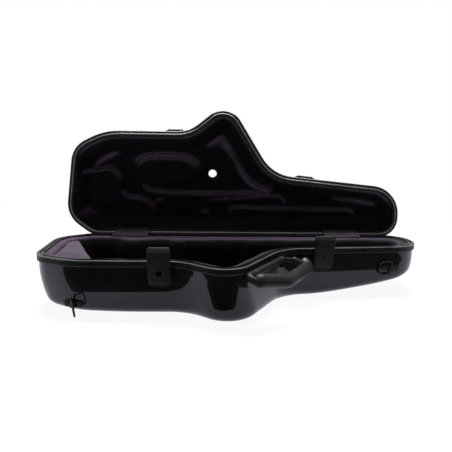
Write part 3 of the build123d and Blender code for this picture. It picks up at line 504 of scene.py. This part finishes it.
def edge_profile(d):
    """0 on the ledge, rising round a soft edge and down a steep wall to 1 inside."""
    soft_edge = ramp(d, -EDGE_RADIUS, EDGE_RADIUS * 0.6)
    return 0.16 * soft_edge + 0.84 * ramp(d, -EDGE_RADIUS * 0.1, WALL_RUN)


cavity = outline(-LEDGE)
# Round bulge of the ledge into the cavity, at the back
BULGE, BULGE_RADIUS = (-0.2815 * LENGTH, HINGE_WALL + 0.023), 0.060
# Front edge of the wide ledge at the hinges, as x and y
BACK_LIP = (
    (-0.160, 0.0800), (-0.140, 0.0745), (-0.118, 0.0705), (-0.095, 0.0675), (-0.072, 0.0670),
    (-0.050, 0.0690), (-0.022, 0.0730), (0.006, 0.0720), (0.030, 0.0700), (0.060, 0.0715),
    (0.095, 0.0725), (0.135, 0.0740), (0.185, 0.0750), (0.230, 0.0800))
FLOOR_PAD, SADDLE_SHARES, SADDLE_TOP = 0.012, (-0.165, 0.165), 0.040
STEP = 0.0017


def base_height(points):
    """Level of the base's plush: a ledge, and soft walls down to the floor with its two saddles."""
    x, y = points[:, 0], points[:, 1]
    d, _ = inside(points, cavity)
    bulge = np.hypot(x - BULGE[0], y - BULGE[1]) - BULGE_RADIUS
    d = np.minimum(d, bulge)
    lip = np.interp(x, *zip(*BACK_LIP)) - y
    d = np.where((x > BACK_LIP[0][0]) & (x < BACK_LIP[-1][0]), np.minimum(d, lip), d)
    wave = ripple(points, 22.0, 3.0) * 0.0016 + ripple(points, 60.0, 9.0) * 0.0006
    d = d + wave
    floor = WALL + FLOOR_PAD + MEETING * np.interp(x / LENGTH, *zip(*BASE_RISE))
    for share in SADDLE_SHARES:
        near = 1 - ramp(np.abs(x - share * LENGTH), 0.010, 0.017)
        floor = np.maximum(floor, floor + (SADDLE_TOP - floor) * near)
    top = MEETING - LEDGE_DROP
    return top - (top - floor) * edge_profile(d) + ripple(points, 35.0, 1.0) * 0.0005


def plan(pixels, depth, rounds=2):
    """Outline on the closed lid of a form that was measured in the picture."""
    return rounded([lid_place(u, v, depth) for u, v in pixels], rounds)


lid_contour = plan((
    (86, 166), (98, 156), (114, 149), (151, 144), (198, 143), (212, 134), (222, 125), (231, 143), (246, 175),
    (258, 184), (270, 189), (303, 190), (324, 196), (359, 200), (382, 205), (391, 213), (387, 222),
    (378, 227), (92, 227), (80, 217), (77, 198)), 0.046)
inner_contour = plan((
    (96, 178), (108, 160), (122, 153), (151, 147), (196, 148), (212, 150), (224, 152), (236, 172),
    (248, 187), (262, 191), (303, 193), (324, 199), (359, 203), (378, 208), (386, 214), (383, 221),
    (374, 226), (96, 226), (86, 215), (86, 198)), 0.040)
key_block = plan((
    (134, 166), (138, 157), (153, 153.5), (186, 154.5), (197, 160), (201, 168), (200, 186),
    (136, 184)), 0.036)
key_block_inner = plan((
    (138, 168), (142, 160), (154, 157.5), (184, 158.5), (194, 163), (197, 170), (196, 184),
    (140, 184)), 0.034)
bow_block = plan((
    (84, 176), (92, 170), (101, 169.5), (110, 167), (119, 172), (123, 182), (123.5, 192), (130, 196.5),
    (145, 197.5), (153, 204), (157, 214), (157, 228), (84, 228)), 0.036)
body_rail = plan((
    (141, 184), (150, 189.5), (170, 192), (200, 193), (235, 193), (266, 191.5), (270, 195), (264, 198),
    (240, 200), (205, 201), (160, 199), (150, 195)), 0.034)
body_step = plan((
    (152, 198), (175, 199.5), (205, 200.5), (237, 199), (262, 196), (285, 195), (290, 228),
    (160, 228)), 0.034, 1)
neck_rail = plan((
    (228, 206), (250, 207.5), (270, 208), (321, 209), (347, 209), (353, 213), (353, 228), (228, 228)), 0.032)

LID_HOLLOW = 0.050
# Groove along the large contour, and how far the plush stands up between it and the inner one
GROOVE_WIDTH, GROOVE_DEPTH, CONTOUR_RISE = 0.004, 0.0022, 0.013
# Small bump below the hole of the open lid: its reach across and upward, and its rise
BUMP_ACROSS, BUMP_UPWARD, BUMP_RISE = 0.009, 0.005, 0.0050
# Blocks that stand up from the lid's plush: outline, height and softness of the edge
LID_BLOCKS = (
    (key_block, 0.0055, 0.0034), (key_block_inner, 0.0050, 0.0028), (bow_block, 0.0110, 0.0048),
    (body_rail, 0.0085, 0.0042), (body_step, 0.0065, 0.0030), (neck_rail, 0.0065, 0.0036))


def lid_height(points):
    """Level of the lid's plush, with the lid closed."""
    x = points[:, 0]
    rise = LID_DEPTH * np.interp(x / LENGTH, *zip(*LID_RISE))
    rim_gap, _ = inside(points, outline(0.0, step=0.004))
    deep = LID_HOLLOW - rise * 0.75
    wall = 0.10 * ramp(rim_gap, 0.005, 0.012) + 0.90 * ramp(rim_gap, 0.009, 0.034)
    height = LEDGE_DROP + (deep - LEDGE_DROP) * wall
    outer, _ = inside(points, lid_contour)
    inner, _ = inside(points, inner_contour)
    share = np.clip(outer / np.maximum(outer - np.minimum(inner, 0), 1e-6), 0, 1)
    share = np.where(outer <= 0, 0, np.where(inner >= 0, 1, share))
    groove = np.exp(-(outer / GROOVE_WIDTH) ** 2) * GROOVE_DEPTH
    height = height + groove * wall - CONTOUR_RISE * share * (2 - share) * wall
    for polygon, rise_by, soft in LID_BLOCKS:
        d, _ = inside(points, polygon)
        height = height - rise_by * ramp(d, -soft * 0.5, soft * 0.6) * wall
    bump = lid_place(205, 213, 0.034)
    across, upward = (x - bump[0]) / BUMP_ACROSS, (points[:, 1] - bump[1]) / BUMP_UPWARD
    height = height - BUMP_RISE * np.exp(-across ** 2 - upward ** 2)
    soft = ripple(points, 26.0, 4.0) * 0.0007 + ripple(points, 70.0, 7.0) * 0.0003
    return MEETING + np.maximum(height + soft * wall, LEDGE_DROP)


def base_painted_light(places, normals):
    """Painted light: pale on the ledge where it faces up to the light, most where it turns down and at the bow's
    end.
    """
    top = MEETING - LEDGE_DROP
    ledge = ramp(places[:, 2], top - 0.006, top - 0.001) * ramp(normals[:, 2], 0.3, 0.8)
    flat = ramp(normals[:, 2], 0.90, 0.995) * ramp(places[:, 0], -0.235, -0.19)
    return ledge * (0.44 - 0.30 * flat)


def lid_painted_light(places, normals):
    """Painted light: pale where the open lid's plush faces up to the light, but hardly on the wall next to the
    hinges.
    """
    return 0.95 * ramp(normals[:, 2], 0.18, 0.55) * (0.08 + 0.92 * ramp(places[:, 2], 0.112, 0.136))


def flap_painted_light(_, normals):
    """Painted light: a little pale where the flap faces up."""
    return 0.14 * ramp(normals[:, 2], 0.0, 0.9)


lining_edge = outline(-RIM_IN - FIT)
vertices, faces = sheet_over([lining_edge], base_height, STEP)
vertices, faces = skirt(vertices, faces, -0.004)
base_plush = new_piece("base_plush", vertices, faces, lining_look)
# Painted light on the base's plush, stored as an attribute.
store_painted_light(base_plush, base_painted_light)
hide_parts("base_lining")
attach(base_plush, "base")

vertices, faces = sheet_over([lining_edge, circle(VENT, VENT_RADIUS)], lid_height, STEP)
vertices, faces = skirt(vertices, faces, 0.004)
faces = [tuple(reversed(f)) for f in faces]
lid_plush = new_piece("lid_plush", swing(vertices), faces, lining_look)
# Painted light on the open lid's plush, stored as an attribute and softened.
store_painted_light(lid_plush, lid_painted_light, 4)
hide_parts("lid_lining")
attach(lid_plush, "lid")

# Sleeve of plush down the hole, from the lining to the shell
count = CIRCLE_POINTS
ring = circle(VENT, VENT_RADIUS - VENT_GAP)
levels = np.linspace(MEETING + VENT_FOOT, MEETING + VENT_TOP, 6)
vertices = np.vstack([np.column_stack((ring, np.full(count, z))) for z in levels])
faces = [((k + 1) * count + i, (k + 1) * count + (i + 1) % count, k * count + (i + 1) % count, k * count + i)
         for k in range(len(levels) - 1) for i in range(count)]
sleeve = new_piece("vent_sleeve", swing(vertices), faces, lining_look)
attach(sleeve, "lid")


# Bow pad: foam under plush, swollen a little by a cloth simulation
CLOTH_STEPS = 20


def swollen(source, name, shrink, voxel, cap, material):
    """Copy of a solid, made smaller by shrink on each side, that pressure then swells by cap at most."""
    obj = bpy.data.objects.new(name, source.data.copy())
    scene.collection.objects.link(obj)
    co = np.array([v.co for v in obj.data.vertices])
    middle = (co.min(0) + co.max(0)) / 2
    co = middle + (co - middle) * (1 - 2 * shrink / (co.max(0) - co.min(0)))
    obj.data.vertices.foreach_set("co", co.reshape(-1))
    obj.data.update()
    bpy.context.view_layer.objects.active = obj
    for other in bpy.context.selected_objects:
        other.select_set(False)
    obj.select_set(True)
    remesh = obj.modifiers.new("remesh", "REMESH")
    remesh.mode, remesh.voxel_size, remesh.use_smooth_shade = "VOXEL", voxel, True
    bpy.ops.object.modifier_apply(modifier="remesh")
    before = np.array([v.co for v in obj.data.vertices])
    cloth = obj.modifiers.new("cloth", "CLOTH")
    cloth.settings.use_pressure = True
    cloth.settings.uniform_pressure_force = 4.0
    cloth.settings.effector_weights.gravity = 0.0
    cloth.settings.quality = 6
    for step in range(CLOTH_STEPS):
        scene.frame_set(step + 1)
    bpy.ops.object.modifier_apply(modifier="cloth")
    after = np.array([v.co for v in obj.data.vertices])
    move = after - before
    length = np.linalg.norm(move, axis=1, keepdims=True)
    after = before + move * np.minimum(1, cap / np.maximum(length, 1e-9))
    obj.data.vertices.foreach_set("co", after.reshape(-1))
    scene.frame_set(1)
    smooth = obj.modifiers.new("smooth", "SMOOTH")
    smooth.iterations, smooth.factor = 4, 0.5
    bpy.ops.object.modifier_apply(modifier="smooth")
    finer = obj.modifiers.new("finer", "SUBSURF")
    finer.levels = finer.render_levels = 1
    bpy.ops.object.modifier_apply(modifier="finer")
    for polygon in obj.data.polygons:
        polygon.use_smooth = True
    dress(obj, material)
    return obj


# Taken in from the solid on each side, and let out where that is below zero
PAD_TAKEN_IN = np.array((-0.004, -0.006, 0.001))
SEAM_LEAN, SEAM_WIDTH, SEAM_DEPTH, LUMP_HEIGHT = 0.10, 0.0022, 0.0016, 0.0009
bow_cushion = swollen(nodes["bow_pad"], "bow_cushion", PAD_TAKEN_IN, 0.0045, 0.005, lit_pad_look)
co = np.array([v.co for v in bow_cushion.data.vertices])
normals = np.array([v.normal for v in bow_cushion.data.vertices])
seam_x = base_place(69, 248, 0.080)[0]
seam = np.exp(-((co[:, 0] - seam_x - co[:, 1] * SEAM_LEAN) / SEAM_WIDTH) ** 2)
lumps = np.array([noise.noise(Vector(p) * 38.0) for p in co]) * LUMP_HEIGHT
co += normals * (lumps - seam * SEAM_DEPTH)[:, None]
bow_cushion.data.vertices.foreach_set("co", co.reshape(-1))
bow_cushion.data.update()
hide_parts("bow_pad")
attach(bow_cushion, "base")


# Velvet flaps across the hinges, from the lid's ledge over both rims to the base's ledge
FLAP_ROUTE = np.array((
    (0.1243, 0.1082), (0.1236, 0.1020), (0.1226, 0.0962), (0.1203, 0.0930), (0.1170, 0.0910),
    (0.1120, 0.0899), (0.1060, 0.0894), (0.1000, 0.0892), (0.0955, 0.0882), (0.0925, 0.0866),
    (0.0885, 0.0861)))
FLAP_THICKNESS, FLAP_ROWS, FLAP_COLUMNS = 0.0012, 30, 48


def flap(side):
    """Cloth along FLAP_ROUTE, from the lid's ledge at its upper end to the base's ledge at its lower one."""
    low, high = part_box(f"hinge_cover_{side}")
    left, right = low.x, high.x
    along = np.concatenate(([0], np.cumsum(np.linalg.norm(np.diff(FLAP_ROUTE, axis=0), axis=1))))
    rows = np.linspace(0, along[-1], FLAP_ROWS)
    ys, zs = np.interp(rows, along, FLAP_ROUTE[:, 0]), np.interp(rows, along, FLAP_ROUTE[:, 1])
    for _ in range(6):
        ys[1:-1] = (ys[:-2] + 2 * ys[1:-1] + ys[2:]) / 4
        zs[1:-1] = (zs[:-2] + 2 * zs[1:-1] + zs[2:]) / 4
    columns = np.linspace(left, right, FLAP_COLUMNS)
    vertices = []
    for i, x in enumerate(columns):
        edge = min(x - left, right - x)
        for y, z in zip(ys, zs):
            dimple = noise.noise(Vector((x * 90, y * 130, z * 130))) * 0.0005
            sag = 0.0004 * math.sin((x - left) / (right - left) * math.pi * 3)
            curl = -0.0004 * math.exp(-edge / 0.002)
            vertices.append((x, y - dimple * 0.5 - sag * 0.3, z + dimple + sag + curl))
    n = len(ys)
    faces = [(i * n + j, i * n + j + 1, (i + 1) * n + j + 1, (i + 1) * n + j)
             for i in range(len(columns) - 1) for j in range(n - 1)]
    piece = new_piece(f"hinge_flap_{side}", vertices, faces, lining_look)
    thick = piece.modifiers.new("thick", "SOLIDIFY")
    thick.thickness, thick.offset = FLAP_THICKNESS, 0.0
    bpy.context.view_layer.objects.active = piece
    bpy.ops.object.modifier_apply(modifier="thick")
    # Painted light on the flap, stored as an attribute.
    store_painted_light(piece, flap_painted_light)
    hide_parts(f"hinge_cover_{side}")
    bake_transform(piece)


for side in ("left", "right"):
    flap(side)


# Painted highlights on the rims: pale thin lines along the lid's tongue and two round the base's rim, for the
# light their edges catch
highlight_line_look = satin("painted_highlight_line", (0.080, 0.080, 0.084), 0.34, 0.46, 420.0, 0.00002, 0.0, 0.2, 0.35)
dim_highlight_line_look = satin("dim_painted_highlight_line", (0.030, 0.030, 0.032), 0.36, 0.48, 420.0, 0.00002, 0.0, 0.2, 0.25)
BEAD_SIDES = 8


def bead(name, outward, z, radius, material, body):
    """Thin round line along a rim, outward of the ridge line at level z with the lid closed, in the pale colour of
    a painted highlight.
    """
    ring = outline(outward, step=0.003)
    ring = ring[np.concatenate(([True], np.linalg.norm(np.diff(ring, axis=0), axis=1) > 1e-5))]
    count = len(ring)
    along = np.roll(ring, -1, axis=0) - np.roll(ring, 1, axis=0)
    along /= np.linalg.norm(along, axis=1, keepdims=True)
    side = np.column_stack((along[:, 1], -along[:, 0]))
    angles = np.arange(BEAD_SIDES) * (2 * math.pi / BEAD_SIDES)
    vertices = np.vstack([
        np.column_stack((ring + side * (radius * math.cos(a)), np.full(count, z + radius * math.sin(a))))
        for a in angles])
    faces = [(k * count + i, k * count + (i + 1) % count, (k + 1) % BEAD_SIDES * count + (i + 1) % count,
              (k + 1) % BEAD_SIDES * count + i) for k in range(BEAD_SIDES) for i in range(count)]
    piece = new_piece(name, swing(vertices) if body == "lid" else vertices, faces, material)
    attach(piece, body)


bead("lid_tongue_edge", 0.0, 0.0863, 0.0012, highlight_line_look, "lid")
bead("base_rim_edge", 0.0063, 0.0873, 0.0006, highlight_line_look, "base")
bead("base_rim_foot", 0.0065, 0.0786, 0.0006, dim_highlight_line_look, "base")


# Raised arc round each latch's lock, and the pressed panel above it, measured from the lock
TRIM_LIFT = 0.00005
GUARD_RADIUS, GUARD_LINE = 0.0086, 0.00035
PANEL_HALF, PANEL_LOW, PANEL_HIGH, PANEL_BEND, PANEL_LINE = 0.0105, 0.0175, 0.0290, 0.002, 0.00025


def latch_trim(side):
    pivot, lock = joints[f"latch_{side}_pivot"], joints[f"latch_{side}_lock_turn"]
    out = Vector(lock["axis"]).normalized()
    along = Vector(pivot["axis"]).normalized()
    up = out.cross(along)
    if up.z < 0:
        up = -up
    centre = Vector(lock["pos_m"]) + out * TRIM_LIFT

    def line(name, points, closed, thickness):
        data = bpy.data.curves.new(name, "CURVE")
        data.dimensions = "3D"
        data.bevel_depth, data.bevel_resolution = thickness, 2
        spline = data.splines.new("POLY")
        spline.points.add(len(points) - 1)
        for p, (a, b) in zip(spline.points, points):
            p.co = (*(centre + along * a + up * b), 1)
        spline.use_cyclic_u = closed
        obj = bpy.data.objects.new(name, data)
        scene.collection.objects.link(obj)
        obj.data.materials.append(latch_look)
        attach(obj, f"latch_{side}")

    arc = [(GUARD_RADIUS * math.cos(a), GUARD_RADIUS * math.sin(a))
           for a in np.radians(np.linspace(-20, 200, 40))]
    line(f"latch_{side}_guard", arc, False, GUARD_LINE)
    across, low, high = PANEL_HALF - PANEL_BEND, PANEL_LOW + PANEL_BEND, PANEL_HIGH - PANEL_BEND
    panel = []
    for a_centre, b_centre, start in (
            (across, high, 0), (-across, high, 90), (-across, low, 180), (across, low, 270)):
        panel += [(a_centre + PANEL_BEND * math.cos(a), b_centre + PANEL_BEND * math.sin(a))
                  for a in np.radians(np.linspace(start, start + 90, 7))]
    line(f"latch_{side}_panel", panel, True, PANEL_LINE)


for side in ("left", "right"):
    latch_trim(side)


# Floor, surroundings and light
def seen_white(n):
    """1 where the camera, a reflection or a clear piece looks at the surroundings."""
    path = n.add("ShaderNodeLightPath")
    seen = n.math("MAXIMUM", path.outputs["Is Camera Ray"], path.outputs["Is Glossy Ray"])
    return n.math("MAXIMUM", seen, path.outputs["Is Transmission Ray"])


def white_stage(name, near_share):
    """White floor that keeps a faint shadow near the case, and is a little violet in reflections."""
    material, tree, shader = new_material(name)
    n = Net(tree)
    shader.inputs["Base Color"].default_value = rgb(0.88, 0.88, 0.88)
    shader.inputs["Roughness"].default_value = 0.8
    glow = n.add("ShaderNodeEmission")
    glow.inputs["Strength"].default_value = 1.0
    path = n.add("ShaderNodeLightPath")
    n.link(n.mix(path.outputs["Is Glossy Ray"], rgb(1, 1, 1), rgb(0.98, 0.95, 1.12)), glow.inputs["Color"])
    blend = n.add("ShaderNodeMixShader")
    away = n.add("ShaderNodeVectorMath", operation="LENGTH")
    n.link(n.place(), away.inputs[0])
    glow_share = n.span(away.outputs["Value"], 0.6, 1.6, near_share, 1.0)
    n.link(n.math("MULTIPLY", seen_white(n), glow_share), blend.inputs[0])
    n.link(shader.outputs[0], blend.inputs[1])
    n.link(glow.outputs[0], blend.inputs[2])
    n.link(blend.outputs[0], tree.nodes["Material Output"].inputs["Surface"])
    return material


def plate(name, corners, z, material):
    """Flat piece of the stage at level z."""
    mesh = bpy.data.meshes.new(name)
    mesh.from_pydata([(x, y, z) for x, y in corners], [], [tuple(range(len(corners)))])
    obj = bpy.data.objects.new(name, mesh)
    scene.collection.objects.link(obj)
    obj.data.materials.append(material)
    return obj


FLOOR_REACH = 6
floor_corners = [(x * FLOOR_REACH, y * FLOOR_REACH) for x, y in ((-1, -1), (1, -1), (1, 1), (-1, 1))]
plate("floor", floor_corners, 0.0, white_stage("floor_white", 0.93))

# Dark card before the case, which only its reflections show
dark_material, _, dark_shader = new_material("dark_card")
dark_shader.inputs["Base Color"].default_value = rgb(0.002, 0.002, 0.002)
dark_shader.inputs["Roughness"].default_value = 0.9
dark_shader.inputs["Specular IOR Level"].default_value = 0.0
CARD_OUTLINE = (
    (-0.90, -3.50), (1.10, -3.50), (0.52, -0.10), (0.39, -0.08), (0.19, -0.105), (0.09, -0.20),
    (0.03, -0.175), (0.00, -0.15), (-0.06, -0.14), (-0.09, -0.15), (-0.25, -0.148), (-0.30, -0.13),
    (-0.36, -0.155), (-0.62, -0.31))
card = plate("dark_card", CARD_OUTLINE, 0.004, dark_material)
card.visible_camera = False
card.visible_diffuse = False
card.visible_shadow = False
card.visible_transmission = False

world = bpy.data.worlds.new("world")
scene.world = world
world.use_nodes = True
net = Net(world.node_tree)
background = world.node_tree.nodes["Background"]
background.inputs["Color"].default_value = rgb(1, 1, 1)
net.link(net.span(seen_white(net), 0.0, 1.0, 0.05, 1.0, False), background.inputs["Strength"])


def softbox(name, place, target, width, height, power):
    data = bpy.data.lights.new(name, "AREA")
    data.shape, data.size, data.size_y, data.energy = "RECTANGLE", width, height, power
    obj = bpy.data.objects.new(name, data)
    scene.collection.objects.link(obj)
    obj.location = place
    obj.rotation_euler = (Vector(target) - Vector(place)).to_track_quat("-Z", "Y").to_euler()


softbox("top_light", (0.0, 0.44, 1.7), (0, 0.05, 0), 1.4, 0.5, 120.0)
softbox("left_light", (-1.5, -0.5, 1.1), (0, 0, 0.1), 0.8, 1.0, 1.5)

scene.view_settings.view_transform = "Standard"
